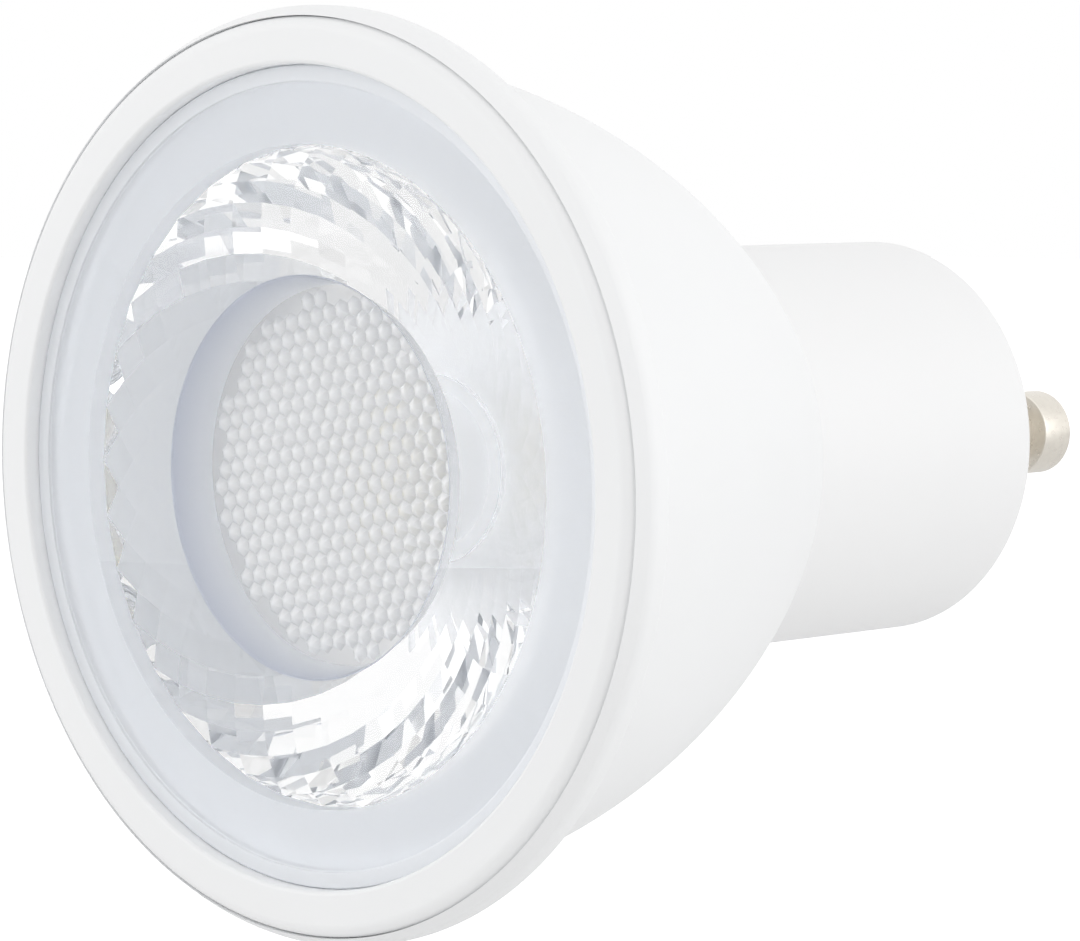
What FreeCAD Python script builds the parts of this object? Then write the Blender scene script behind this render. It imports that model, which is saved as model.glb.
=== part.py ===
import FreeCAD, Part
import math
import os

# Reflector lamp with a two-pin twist-and-lock base, modelled in millimetres.
# The lamp's axis is Y: the lens faces -Y, the base and its contact pins point to +Y, and +Z is up.
# The origin is midway between the pins, level with the shoulders of their heads, which lock in the holder.
# Places along the axis are first worked out as depths behind the front plane of the rim.

# Overall form
RIM_RADIUS = 25.0
BODY_LENGTH = 51.0
NECK_RADIUS = 11.7
BASE_BEVEL = 2.6
BOWL_LENGTH = 29.5
BOWL_ARC_RADIUS = 42.8
FIT = 0.06

# Front ring
FACE_WIDTH = 3.1
RING_THICKNESS = 1.0
RING_EDGE_ROUND = 0.75
RING_INNER_ROUND = 0.25
RING_SPIGOT = 0.75
RING_LEDGE_COVER = 1.1
SEAM_GAP = 0.12

# Housing
RIM_BAND = 0.6
RIM_FRONT = 0.35
RIM_EDGE_ROUND = 0.45
LIP_WALL = 1.6
LIP_BACK = 2.3
LIP_ROUND = 0.25
LIP_STEP = 2.3
LIP_FILLET = 0.6
HOUSING_WALL = 1.5

# Base neck
NECK_WALL = 1.5
COLLAR_WIDTH = 1.8
COLLAR_THICKNESS = 1.4
COLLAR_SEAT_WALL = 1.3
END_WALL = 2.0
INNER_BEVEL = 1.5
RAIL_DEPTH = 1.2
RAIL_THICKNESS = 0.8

# Contact pins
PIN_SPACING = 10.0
PIN_PROTRUSION = 7.0
PIN_HEAD_RADIUS = 2.5
PIN_HEAD_LENGTH = 2.6
PIN_HEAD_ROUND = 0.35
PIN_SHANK_RADIUS = 1.55
PIN_RIVET_RADIUS = 2.0
PIN_RIVET_THICKNESS = 0.7
PIN_TAIL_RADIUS = 1.2
PIN_TAIL_LENGTH = 1.3

# Lens
LENS_FRONT = 0.85
LENS_EDGE_BAND = 0.85
LENS_FACE_STEP = 0.2
LENS_LEDGE_WIDTH = 0.8
LENS_SKIRT_GAP = 0.3
LENS_SKIRT_LENGTH = 1.45
LENS_FLANGE_WIDTH = 3.3
LENS_TAIL_SPACE = 14.1
LENS_TAIL_RADIUS = 5.2
FACETS_ROUND = 36
FACET_ROWS = 12
WELL_RADIUS = 10.2
WELL_TAPER = 0.2
WELL_DEPTH = 2.5
BEAD_PITCH = 1.0
BEAD_HEIGHT = 0.2
BEAD_BASE = 0.06
BEAD_ROOT = 0.2
BEAD_TURN = 12.0
POCKET_RADIUS = 4.3
POCKET_LENGTH = 5.2
POCKET_DOME = 1.6

# Light source and heat sink
CUP_WALL = 0.9
CUP_FRONT_GAP = 0.2
PLATE_THICKNESS = 1.8
PAD_THICKNESS = 0.3
PAD_RADIUS = 12.2
LED_BOARD_RADIUS = 12.6
LED_BOARD_THICKNESS = 1.2
LED_GAP = 0.4
CARRIER_SIDE = 9.0
CARRIER_THICKNESS = 1.0
CARRIER_CORNER = 0.6
PHOSPHOR_RADIUS = 2.6
PHOSPHOR_THICKNESS = 0.35
SCREW_CIRCLE = 9.6
SCREW_RADIUS = 0.95
SCREW_HEAD_RADIUS = 1.9
SCREW_HEAD_HEIGHT = 1.2
SCREW_SLOT = 0.5
LEAD_RADIUS = 0.45
LEAD_HOLE_GAP = 0.12
LEAD_SPACING = 16.0
LEAD_END = 0.8
LEAD_LAP = 3.0

# Driver
DRIVER_GAP = 3.4
DRIVER_THICKNESS = 1.0
DRIVER_SIDE_GAP = 0.2
DRIVER_TAIL_GAP = 0.3
CAPACITOR_RADIUS = 3.4
CAPACITOR_LENGTH = 11.5
CAPACITOR_GROOVE = 0.3
CAPACITOR_PLACE = 10.4
RESISTOR_RADIUS = 1.1
RESISTOR_CAP = 0.15
RESISTOR_LENGTH = 6.4
RESISTOR_PLACE = 2.2
CHOKE_RADIUS = 3.5
CHOKE_HEIGHT = 6.4
CHOKE_FLANGE = 1.0
CHOKE_CORE_RADIUS = 1.5
CHOKE_WINDING = 1.4
CHOKE_PLACE = 5.6
FILM_WIDTH = 9.0
FILM_THICKNESS = 3.6
FILM_HEIGHT = 6.0
FILM_ROUND = 0.5
FILM_PLACE = 12.4
CHIP_WIDTH = 3.2
CHIP_LENGTH = 4.9
CHIP_HEIGHT = 1.5
CHIP_LEGS = 4
CHIP_OFFSET = 6.3
CHIP_PLACE = 6.0
BRIDGE_WIDTH = 3.2
BRIDGE_LENGTH = 4.7
BRIDGE_HEIGHT = 1.8
BRIDGE_LEGS = 2
BRIDGE_OFFSET = 6.3
BRIDGE_PLACE = 6.0
LEG_WIDTH = 0.45
LEG_REACH = 0.55
LEG_HEIGHT = 0.5
MAINS_WIRE_RADIUS = 0.4
MAINS_WIRE_LAP = 1.6

# Radii and depths that follow from the sizes above
REFERENCE_DEPTH = BODY_LENGTH + PIN_PROTRUSION - PIN_HEAD_LENGTH
AXIS = FreeCAD.Vector(0, 1, 0)
UP = FreeCAD.Vector(0, 0, 1)
SIDEWAYS = FreeCAD.Vector(1, 0, 0)
ORIGIN = FreeCAD.Vector(0, 0, 0)
RING_RADIUS = RIM_RADIUS - RIM_BAND
RING_SEAT_RADIUS = RING_RADIUS + SEAM_GAP
OPENING_RADIUS = RIM_RADIUS - FACE_WIDTH
MOUTH_RADIUS = RIM_RADIUS - LIP_WALL
LIP_FRONT = RING_THICKNESS + SEAM_GAP
FLOOR_DEPTH = RING_THICKNESS + RING_SPIGOT
BOWL_MOUTH_RADIUS = RIM_RADIUS - LIP_STEP
BOWL_START = LIP_BACK + LIP_FILLET
REAR_HOLE_RADIUS = NECK_RADIUS + FIT
NECK_BORE = NECK_RADIUS - NECK_WALL
COLLAR_RADIUS = NECK_RADIUS + COLLAR_WIDTH
COLLAR_RECESS = COLLAR_RADIUS + FIT
LENS_RADIUS = OPENING_RADIUS - FIT
LEDGE_RADIUS = LENS_RADIUS + LENS_LEDGE_WIDTH
REBATE_RADIUS = LEDGE_RADIUS + FIT
LEDGE_FRONT = RING_LEDGE_COVER + FIT
FACE_DEPTH = LENS_FRONT + LENS_FACE_STEP
BAND_RADIUS = LENS_RADIUS - LENS_EDGE_BAND
FACET_RADIUS = BAND_RADIUS - LENS_FLANGE_WIDTH
WELL_FLOOR = FACE_DEPTH + WELL_DEPTH
SKIRT_END = FLOOR_DEPTH + LENS_SKIRT_LENGTH
LENS_BODY_LENGTH = BOWL_LENGTH - LENS_TAIL_SPACE
TAIL_DEPTH = SKIRT_END + LENS_BODY_LENGTH
CARRIER_FRONT = TAIL_DEPTH + LED_GAP
LED_BOARD_FRONT = CARRIER_FRONT + CARRIER_THICKNESS
PAD_FRONT = LED_BOARD_FRONT + LED_BOARD_THICKNESS
PLATE_FRONT = PAD_FRONT + PAD_THICKNESS
PLATE_BACK = PLATE_FRONT + PLATE_THICKNESS
DRIVER_FRONT = PLATE_BACK + DRIVER_GAP
LEAD_BACK = DRIVER_FRONT + LEAD_LAP
RIVET_FACE = BODY_LENGTH - END_WALL
TAIL_END = RIVET_FACE - PIN_RIVET_THICKNESS - PIN_TAIL_LENGTH
DRIVER_BACK = TAIL_END - DRIVER_TAIL_GAP
DRIVER_HALF = DRIVER_THICKNESS / 2
LEAD_HOLE_RADIUS = LEAD_RADIUS + LEAD_HOLE_GAP
LEAD_HEIGHT = DRIVER_HALF + LEAD_RADIUS


def along(depth):
    """Place along the axis of a depth behind the rim's front plane."""
    return depth - REFERENCE_DEPTH


def at(radius, depth):
    """Point of a turned profile, in the half plane from which it is turned."""
    return FreeCAD.Vector(radius, along(depth), 0)


def arc_between(start, end, centre, radius):
    """Arc of a given centre and radius, from start to end, bulging away from the centre."""
    middle = (start + end) / 2 - centre
    return Part.Arc(start, centre + middle * (radius / middle.Length), end).toShape()


def outline(corners):
    """Edges of an open outline: points joined by lines, with a ready-made edge in the place of a line."""
    edges = []
    last = None
    for item in corners:
        if isinstance(item, FreeCAD.Vector):
            if last is not None and last.distanceToPoint(item) > 1e-7:
                edges.append(Part.makeLine(last, item))
            last = item
        else:
            edges.append(item)
            last = item.valueAt(item.LastParameter)
    return edges


def turned(corners):
    """Solid turned about the lamp's axis from a closed outline."""
    edges = outline(corners + [corners[0]])
    return Part.Face(Part.Wire(edges)).revolve(ORIGIN, AXIS, 360)


def corner_round(centre_radius, centre_depth, size, start_angle, end_angle):
    """Quarter round of an outline, with angles from the outward radius towards the base."""
    def point(angle):
        turn = math.radians(angle)
        return at(centre_radius + size * math.cos(turn), centre_depth + size * math.sin(turn))
    return Part.Arc(point(start_angle), point((start_angle + end_angle) / 2), point(end_angle)).toShape()


def disc(radius, front, back, x=0.0, z=0.0):
    """Plain cylinder along the lamp's axis."""
    return Part.makeCylinder(radius, back - front, FreeCAD.Vector(x, along(front), z), AXIS)


def block(width, length, height, centre_x, centre_depth, low_z):
    """Plain block, length along the axis."""
    corner = FreeCAD.Vector(centre_x - width / 2, along(centre_depth) - length / 2, low_z)
    return Part.makeBox(width, length, height, corner)


def edges_along(shape, direction):
    """Straight edges of a shape that run along a direction."""
    found = []
    for edge in shape.Edges:
        run = edge.valueAt(edge.LastParameter) - edge.valueAt(edge.FirstParameter)
        if abs(abs(run.normalize().dot(direction)) - 1) < 1e-6:
            found.append(edge)
    return found


def closed_solid(faces):
    """Solid bounded by flat faces that share their edges."""
    solid = Part.Solid(Part.makeShell(faces))
    if solid.Volume < 0:
        solid.reverse()
    return solid


def flat_face(points):
    """Flat polygon."""
    return Part.Face(Part.makePolygon(points + [points[0]]))


# Centre of the bowl's arc, from its two ends: behind the lip and at the neck.
BOWL_FIRST = at(BOWL_MOUTH_RADIUS, BOWL_START)
BOWL_LAST = at(REAR_HOLE_RADIUS, BOWL_LENGTH)
BOWL_CHORD = BOWL_LAST - BOWL_FIRST
BOWL_RISE = math.sqrt(BOWL_ARC_RADIUS ** 2 - (BOWL_CHORD.Length / 2) ** 2)
BOWL_INWARD = FreeCAD.Vector(-BOWL_CHORD.y, BOWL_CHORD.x, 0).normalize()
BOWL_CENTRE = (BOWL_FIRST + BOWL_LAST) / 2 + BOWL_INWARD * BOWL_RISE


def bowl_point_at_depth(depth, inset):
    """Point of the bowl's arc, or of one inset from it, at a depth."""
    height = along(depth) - BOWL_CENTRE.y
    reach = math.sqrt((BOWL_ARC_RADIUS - inset) ** 2 - height ** 2)
    return FreeCAD.Vector(BOWL_CENTRE.x + reach, along(depth), 0)


def bowl_point_at_radius(radius, inset):
    """Point of the bowl's arc, or of one inset from it, at a radius."""
    reach = radius - BOWL_CENTRE.x
    height = math.sqrt((BOWL_ARC_RADIUS - inset) ** 2 - reach ** 2)
    return FreeCAD.Vector(radius, BOWL_CENTRE.y + height, 0)


def bowl_arc(start, end, inset):
    """Arc between two points of the bowl's curve."""
    return arc_between(start, end, BOWL_CENTRE, BOWL_ARC_RADIUS - inset)


COLLAR_SEAT = bowl_point_at_radius(COLLAR_RECESS, 0).y + REFERENCE_DEPTH - COLLAR_SEAT_WALL
COLLAR_FRONT = COLLAR_SEAT - COLLAR_THICKNESS


def front_ring():
    """White ring that covers the lens's ledge, lies in the housing's rim and spigots into its mouth."""
    spigot_radius = MOUTH_RADIUS - FIT
    edge = RING_RADIUS - RING_EDGE_ROUND
    inner = OPENING_RADIUS + RING_INNER_ROUND
    return turned([
        at(OPENING_RADIUS, RING_LEDGE_COVER),
        at(OPENING_RADIUS, RING_INNER_ROUND),
        corner_round(inner, RING_INNER_ROUND, RING_INNER_ROUND, 180, 270),
        at(edge, 0),
        corner_round(edge, RING_EDGE_ROUND, RING_EDGE_ROUND, -90, 0),
        at(RING_RADIUS, RING_THICKNESS),
        at(spigot_radius, RING_THICKNESS),
        at(spigot_radius, FLOOR_DEPTH),
        at(REBATE_RADIUS, FLOOR_DEPTH),
        at(REBATE_RADIUS, RING_LEDGE_COVER),
    ])


def housing_bowl():
    """Bowl-shaped shell with a lip and a thin rim round its mouth and a seat for the neck's collar."""
    seat = COLLAR_SEAT
    lip = RIM_RADIUS - LIP_ROUND
    edge = RIM_RADIUS - RIM_EDGE_ROUND
    inner_last = bowl_point_at_radius(COLLAR_RECESS, HOUSING_WALL)
    inner_first = bowl_point_at_depth(FLOOR_DEPTH, HOUSING_WALL)
    return turned([
        at(RING_SEAT_RADIUS, RIM_FRONT),
        at(edge, RIM_FRONT),
        corner_round(edge, RIM_FRONT + RIM_EDGE_ROUND, RIM_EDGE_ROUND, -90, 0),
        at(RIM_RADIUS, LIP_BACK - LIP_ROUND),
        corner_round(lip, LIP_BACK - LIP_ROUND, LIP_ROUND, 0, 90),
        at(BOWL_MOUTH_RADIUS + LIP_FILLET, LIP_BACK),
        corner_round(BOWL_MOUTH_RADIUS + LIP_FILLET, BOWL_START, LIP_FILLET, 270, 180),
        bowl_arc(BOWL_FIRST, BOWL_LAST, 0),
        at(REAR_HOLE_RADIUS, seat),
        at(COLLAR_RECESS, seat),
        inner_last,
        bowl_arc(inner_last, inner_first, HOUSING_WALL),
        at(MOUTH_RADIUS, FLOOR_DEPTH),
        at(MOUTH_RADIUS, LIP_FRONT),
        at(RING_SEAT_RADIUS, LIP_FRONT),
    ])


def base_neck():
    """Hollow neck with a collar, a bevelled end with two pin holes, and rails for the driver board."""
    cone_end = NECK_BORE - INNER_BEVEL
    neck = turned([
        at(NECK_BORE, COLLAR_FRONT),
        at(COLLAR_RADIUS, COLLAR_FRONT),
        at(COLLAR_RADIUS, COLLAR_SEAT),
        at(NECK_RADIUS, COLLAR_SEAT),
        at(NECK_RADIUS, BODY_LENGTH - BASE_BEVEL),
        at(NECK_RADIUS - BASE_BEVEL, BODY_LENGTH),
        at(0, BODY_LENGTH),
        at(0, RIVET_FACE),
        at(cone_end, RIVET_FACE),
        at(NECK_BORE, RIVET_FACE - INNER_BEVEL),
    ])
    rail_width = RAIL_DEPTH + NECK_WALL / 2
    rail_length = DRIVER_BACK - COLLAR_FRONT
    rail_middle = (DRIVER_BACK + COLLAR_FRONT) / 2
    rail_x = NECK_BORE - RAIL_DEPTH + rail_width / 2
    slot = DRIVER_HALF + FIT
    rails = []
    for side in (-1, 1):
        for low in (slot, -slot - RAIL_THICKNESS):
            rails.append(block(rail_width, rail_length, RAIL_THICKNESS, side * rail_x, rail_middle, low))
    neck = neck.fuse(rails)
    holes = []
    for side in (-1, 1):
        holes.append(disc(PIN_SHANK_RADIUS + FIT, RIVET_FACE, BODY_LENGTH, side * PIN_SPACING / 2))
    return neck.cut(holes).removeSplitter()


def contact_pin(side):
    """Riveted contact pin with a wide head, a shank through the end wall and a solder tail."""
    tip = BODY_LENGTH + PIN_PROTRUSION
    shoulder = tip - PIN_HEAD_LENGTH
    rim = PIN_HEAD_RADIUS - PIN_HEAD_ROUND
    pin = turned([
        at(0, TAIL_END),
        at(PIN_TAIL_RADIUS, TAIL_END),
        at(PIN_TAIL_RADIUS, RIVET_FACE - PIN_RIVET_THICKNESS),
        at(PIN_RIVET_RADIUS, RIVET_FACE - PIN_RIVET_THICKNESS),
        at(PIN_RIVET_RADIUS, RIVET_FACE),
        at(PIN_SHANK_RADIUS, RIVET_FACE),
        at(PIN_SHANK_RADIUS, shoulder),
        at(PIN_HEAD_RADIUS, shoulder),
        at(PIN_HEAD_RADIUS, tip - PIN_HEAD_ROUND),
        corner_round(rim, tip - PIN_HEAD_ROUND, PIN_HEAD_ROUND, 0, 90),
        at(0, tip),
    ])
    pin.translate(FreeCAD.Vector(side * PIN_SPACING / 2, 0, 0))
    return pin


def lens_disc():
    """Front of the lens: edge band, frosted flange, ledge and skirt."""
    skirt_radius = bowl_point_at_depth(SKIRT_END, HOUSING_WALL).x - LENS_SKIRT_GAP
    return turned([
        at(0, FACE_DEPTH),
        at(BAND_RADIUS, FACE_DEPTH),
        at(BAND_RADIUS, LENS_FRONT),
        at(LENS_RADIUS, LENS_FRONT),
        at(LENS_RADIUS, LEDGE_FRONT),
        at(LEDGE_RADIUS, LEDGE_FRONT),
        at(LEDGE_RADIUS, FLOOR_DEPTH),
        at(skirt_radius, FLOOR_DEPTH),
        at(skirt_radius, SKIRT_END),
        at(0, SKIRT_END),
    ])


def lens_well():
    """Hollow in the middle of the lens's face, with a slightly tapered wall."""
    return turned([
        at(0, FACE_DEPTH),
        at(WELL_RADIUS + WELL_TAPER, FACE_DEPTH),
        at(WELL_RADIUS, WELL_FLOOR),
        at(0, WELL_FLOOR),
    ])


def facet_radius(row):
    """Radius of a ring of facet corners: this cosine curve keeps every four-cornered facet flat."""
    step = math.pi / FACETS_ROUND
    whole = FACET_ROWS * step
    first = math.atan2(math.cos(whole) - LENS_TAIL_RADIUS / FACET_RADIUS, math.sin(whole))
    return FACET_RADIUS * math.cos(first + row * step) / math.cos(first)


def facet_corner(row, number):
    """Corner of the facets: every second ring is turned by half a facet."""
    turn = (number + row % 2 / 2) * 2 * math.pi / FACETS_ROUND
    radius = facet_radius(row)
    depth = SKIRT_END + LENS_BODY_LENGTH * row / FACET_ROWS
    return FreeCAD.Vector(radius * math.cos(turn), along(depth), radius * math.sin(turn))


def faceted_body():
    """Back of the lens: a bowl of flat diamond facets that narrows to the light source."""
    faces = []
    for row in range(FACET_ROWS + 1):
        for number in range(FACETS_ROUND):
            between = number + row % 2
            corners = [facet_corner(row, number)]
            if row > 0:
                corners.append(facet_corner(row - 1, between))
            corners.append(facet_corner(row, number + 1))
            if row < FACET_ROWS:
                corners.append(facet_corner(row + 1, between))
            faces.append(flat_face(corners))
    for row in (0, FACET_ROWS):
        faces.append(flat_face([facet_corner(row, number) for number in range(FACETS_ROUND)]))
    return closed_solid(faces)


def bead_cells():
    """Middles of the honeycomb cells that lie whole inside the well's floor."""
    reach = int(WELL_RADIUS / BEAD_PITCH) + 2
    limit = WELL_RADIUS - BEAD_PITCH / math.sqrt(3) - FIT
    turn = math.radians(BEAD_TURN)
    cells = []
    for row in range(-2 * reach, 2 * reach + 1):
        for column in range(-2 * reach, 2 * reach + 1):
            across = (column + row / 2) * BEAD_PITCH
            down = row * BEAD_PITCH * math.sqrt(3) / 2
            if math.hypot(across, down) <= limit:
                x = across * math.cos(turn) - down * math.sin(turn)
                z = across * math.sin(turn) + down * math.cos(turn)
                cells.append((x, z))
    return cells


def bead_plate():
    """Honeycomb of six-sided beads that stands on the well's floor, rooted a little way into the lens."""
    corner_radius = BEAD_PITCH / math.sqrt(3)
    top = along(WELL_FLOOR - BEAD_HEIGHT)
    base = along(WELL_FLOOR - BEAD_BASE)
    root = along(WELL_FLOOR + BEAD_ROOT)
    shared = {}
    walls = {}
    faces = []

    def corner(x, z):
        key = (round(x, 4), round(z, 4))
        return key, shared.setdefault(key, FreeCAD.Vector(x, base, z))

    for x, z in bead_cells():
        ring = []
        for side in range(6):
            turn = math.radians(BEAD_TURN + 30 + 60 * side)
            ring.append(corner(x + corner_radius * math.cos(turn), z + corner_radius * math.sin(turn)))
        tip = FreeCAD.Vector(x, top, z)
        for (key, first), (next_key, second) in zip(ring, ring[1:] + ring[:1]):
            faces.append(flat_face([first, second, tip]))
            if (next_key, key) in walls:
                del walls[next_key, key]
            else:
                walls[key, next_key] = (first, second)
    border = {key: (next_key, pair) for (key, next_key), pair in walls.items()}
    key = next(iter(border))
    floor = []
    while key in border:
        next_key, (first, second) = border.pop(key)
        low_first = FreeCAD.Vector(first.x, root, first.z)
        low_second = FreeCAD.Vector(second.x, root, second.z)
        faces.append(flat_face([first, low_first, low_second, second]))
        floor.append(low_first)
        key = next_key
    faces.append(flat_face(floor))
    return closed_solid(faces)


def source_pocket():
    """Hollow in the lens's tail that takes in the light, with a domed end."""
    mouth = TAIL_DEPTH
    end = TAIL_DEPTH - POCKET_LENGTH
    dome_edge = at(POCKET_RADIUS, end)
    dome_tip = at(0, end + POCKET_DOME)
    dome_radius = (POCKET_RADIUS ** 2 + POCKET_DOME ** 2) / (2 * POCKET_DOME)
    dome_centre = at(0, end + POCKET_DOME - dome_radius)
    return turned([
        at(POCKET_RADIUS, mouth),
        at(POCKET_RADIUS, end),
        arc_between(dome_edge, dome_tip, dome_centre, dome_radius),
        at(0, mouth),
    ])


def lens():
    """Clear moulded lens: disc, facets, well with its honeycomb of beads, and pocket in one piece."""
    body = lens_disc().fuse(faceted_body())
    return body.cut([source_pocket(), lens_well()]).fuse(bead_plate())


def board_holes(radius, front, back):
    """Two holes for the screws, at one radius, and two for the leads."""
    holes = []
    for side in (-1, 1):
        holes.append(disc(radius, front, back, 0, side * SCREW_CIRCLE))
        holes.append(disc(LEAD_HOLE_RADIUS, front, back, side * LEAD_SPACING / 2, LEAD_HEIGHT))
    return holes


def heat_sink_cup():
    """Metal cup that lines the bowl, with a plate across its bottom."""
    outer_inset = HOUSING_WALL + FIT
    inner_inset = outer_inset + CUP_WALL
    front = SKIRT_END + CUP_FRONT_GAP
    outer_first = bowl_point_at_depth(front, outer_inset)
    outer_last = bowl_point_at_depth(PLATE_BACK, outer_inset)
    inner_first = bowl_point_at_depth(front, inner_inset)
    inner_last = bowl_point_at_depth(PLATE_FRONT, inner_inset)
    cup = turned([
        outer_first,
        bowl_arc(outer_first, outer_last, outer_inset),
        at(0, PLATE_BACK),
        at(0, PLATE_FRONT),
        inner_last,
        bowl_arc(inner_last, inner_first, inner_inset),
    ])
    return cup.cut(board_holes(SCREW_RADIUS + FIT, PLATE_FRONT, PLATE_BACK))


def thermal_pad():
    """Soft sheet between the light source's board and the plate."""
    pad = disc(PAD_RADIUS, PAD_FRONT, PLATE_FRONT)
    return pad.cut(board_holes(SCREW_RADIUS + FIT, PAD_FRONT, PLATE_FRONT))


def led_board():
    """Round metal-core board."""
    board = disc(LED_BOARD_RADIUS, LED_BOARD_FRONT, PAD_FRONT)
    return board.cut(board_holes(SCREW_RADIUS + FIT, LED_BOARD_FRONT, PAD_FRONT))


def led_carrier():
    """Square carrier of the light source with rounded corners."""
    middle = (CARRIER_FRONT + LED_BOARD_FRONT) / 2
    plate = block(CARRIER_SIDE, CARRIER_THICKNESS, CARRIER_SIDE, 0, middle, -CARRIER_SIDE / 2)
    return plate.makeFillet(CARRIER_CORNER, edges_along(plate, AXIS))


def led_phosphor():
    """Round yellow light-giving layer."""
    return disc(PHOSPHOR_RADIUS, CARRIER_FRONT - PHOSPHOR_THICKNESS, CARRIER_FRONT)


def board_screws():
    """Two slotted screws that hold the board to the plate."""
    screws = []
    for side in (-1, 1):
        z = side * SCREW_CIRCLE
        head_top = LED_BOARD_FRONT - SCREW_HEAD_HEIGHT
        head = disc(SCREW_HEAD_RADIUS, head_top, LED_BOARD_FRONT, 0, z)
        shank = disc(SCREW_RADIUS, LED_BOARD_FRONT, PLATE_BACK, 0, z)
        slot_depth = SCREW_HEAD_HEIGHT / 2
        slot_middle = head_top + slot_depth / 2
        slot = block(2 * SCREW_HEAD_RADIUS, slot_depth, SCREW_SLOT, 0, slot_middle, z - SCREW_SLOT / 2)
        screws.append(head.fuse(shank).cut(slot).removeSplitter())
    return Part.makeCompound(screws)


def led_leads():
    """Two straight leads from the driver board through the plate to the light source's board."""
    leads = []
    for side in (-1, 1):
        x = side * LEAD_SPACING / 2
        leads.append(disc(LEAD_RADIUS, LED_BOARD_FRONT - LEAD_END, LEAD_BACK, x, LEAD_HEIGHT))
    return Part.makeCompound(leads)


def mains_wires():
    """Two short wires from the pins' tails to the driver board."""
    wires = []
    for side in (-1, 1):
        x = side * PIN_SPACING / 2
        z = DRIVER_HALF + MAINS_WIRE_RADIUS
        wires.append(disc(MAINS_WIRE_RADIUS, DRIVER_BACK - MAINS_WIRE_LAP, TAIL_END, x, z))
    return Part.makeCompound(wires)


def driver_board():
    """Long board that stands in the neck's rails, on the lamp's middle plane."""
    width = 2 * (NECK_BORE - DRIVER_SIDE_GAP)
    middle = (DRIVER_FRONT + DRIVER_BACK) / 2
    return block(width, DRIVER_BACK - DRIVER_FRONT, DRIVER_THICKNESS, 0, middle, -DRIVER_HALF)


def filter_capacitor():
    """Round capacitor that lies along the board, with a crimped groove near its rear end."""
    front = DRIVER_BACK - CAPACITOR_PLACE - CAPACITOR_LENGTH / 2
    back = front + CAPACITOR_LENGTH
    groove = back - 4 * CAPACITOR_GROOVE
    can = turned([
        at(0, front),
        at(CAPACITOR_RADIUS, front),
        at(CAPACITOR_RADIUS, groove - CAPACITOR_GROOVE),
        at(CAPACITOR_RADIUS - CAPACITOR_GROOVE, groove),
        at(CAPACITOR_RADIUS, groove + CAPACITOR_GROOVE),
        at(CAPACITOR_RADIUS, back),
        at(0, back),
    ])
    can.translate(UP * (DRIVER_HALF + CAPACITOR_RADIUS))
    return can


def fusible_resistor():
    """Resistor that lies across the board, with a wider cap at each end."""
    end = RESISTOR_LENGTH / 2
    cap = RESISTOR_RADIUS
    waist = cap - RESISTOR_CAP
    points = [(0, -end), (cap, -end), (cap, -end + cap), (waist, -end + cap),
              (waist, end - cap), (cap, end - cap), (cap, end), (0, end)]
    profile = [FreeCAD.Vector(x, 0, radius) for radius, x in points]
    body = Part.Face(Part.makePolygon(profile + [profile[0]])).revolve(ORIGIN, SIDEWAYS, 360)
    body.translate(FreeCAD.Vector(0, along(DRIVER_BACK - RESISTOR_PLACE), DRIVER_HALF + cap))
    return body


def choke_core():
    """Bobbin-shaped core that stands under the board."""
    place = FreeCAD.Vector(0, along(DRIVER_BACK - CHOKE_PLACE), -DRIVER_HALF)
    top = Part.makeCylinder(CHOKE_RADIUS, CHOKE_FLANGE, place, -UP)
    post = Part.makeCylinder(CHOKE_CORE_RADIUS, CHOKE_HEIGHT, place, -UP)
    low = place - UP * (CHOKE_HEIGHT - CHOKE_FLANGE)
    bottom = Part.makeCylinder(CHOKE_RADIUS, CHOKE_FLANGE, low, -UP)
    return top.fuse([post, bottom]).removeSplitter()


def choke_winding():
    """Wire wound round the core, as one ring between the core's flanges."""
    drop = CHOKE_FLANGE + FIT
    place = FreeCAD.Vector(0, along(DRIVER_BACK - CHOKE_PLACE), -DRIVER_HALF - drop)
    height = CHOKE_HEIGHT - 2 * drop
    bore = CHOKE_CORE_RADIUS + FIT
    ring = Part.makeCylinder(bore + CHOKE_WINDING, height, place, -UP)
    return ring.cut(Part.makeCylinder(bore, height, place, -UP))


def film_capacitor():
    """Box-shaped capacitor under the board with rounded lower edges."""
    low = -DRIVER_HALF - FILM_HEIGHT
    box = block(FILM_WIDTH, FILM_THICKNESS, FILM_HEIGHT, 0, DRIVER_BACK - FILM_PLACE, low)
    return box.makeFillet(FILM_ROUND, edges_along(box, UP))


def flat_package(width, length, height, legs, centre_x, place):
    """Flat black package on the board behind the leads' ends, with a row of legs along each side."""
    middle = LEAD_BACK + place
    pieces = []
    for number in range(legs):
        leg_depth = middle + length * ((number + 0.5) / legs - 0.5)
        full = width + 2 * LEG_REACH
        pieces.append(block(full, LEG_WIDTH, LEG_HEIGHT, centre_x, leg_depth, DRIVER_HALF))
    body = block(width, length, height, centre_x, middle, DRIVER_HALF)
    return body.fuse(pieces).removeSplitter()


def controller_chip():
    """Driver chip."""
    return flat_package(CHIP_WIDTH, CHIP_LENGTH, CHIP_HEIGHT, CHIP_LEGS, CHIP_OFFSET, CHIP_PLACE)


def bridge_rectifier():
    """Rectifier package."""
    centre = -BRIDGE_OFFSET
    return flat_package(BRIDGE_WIDTH, BRIDGE_LENGTH, BRIDGE_HEIGHT, BRIDGE_LEGS, centre, BRIDGE_PLACE)


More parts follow.
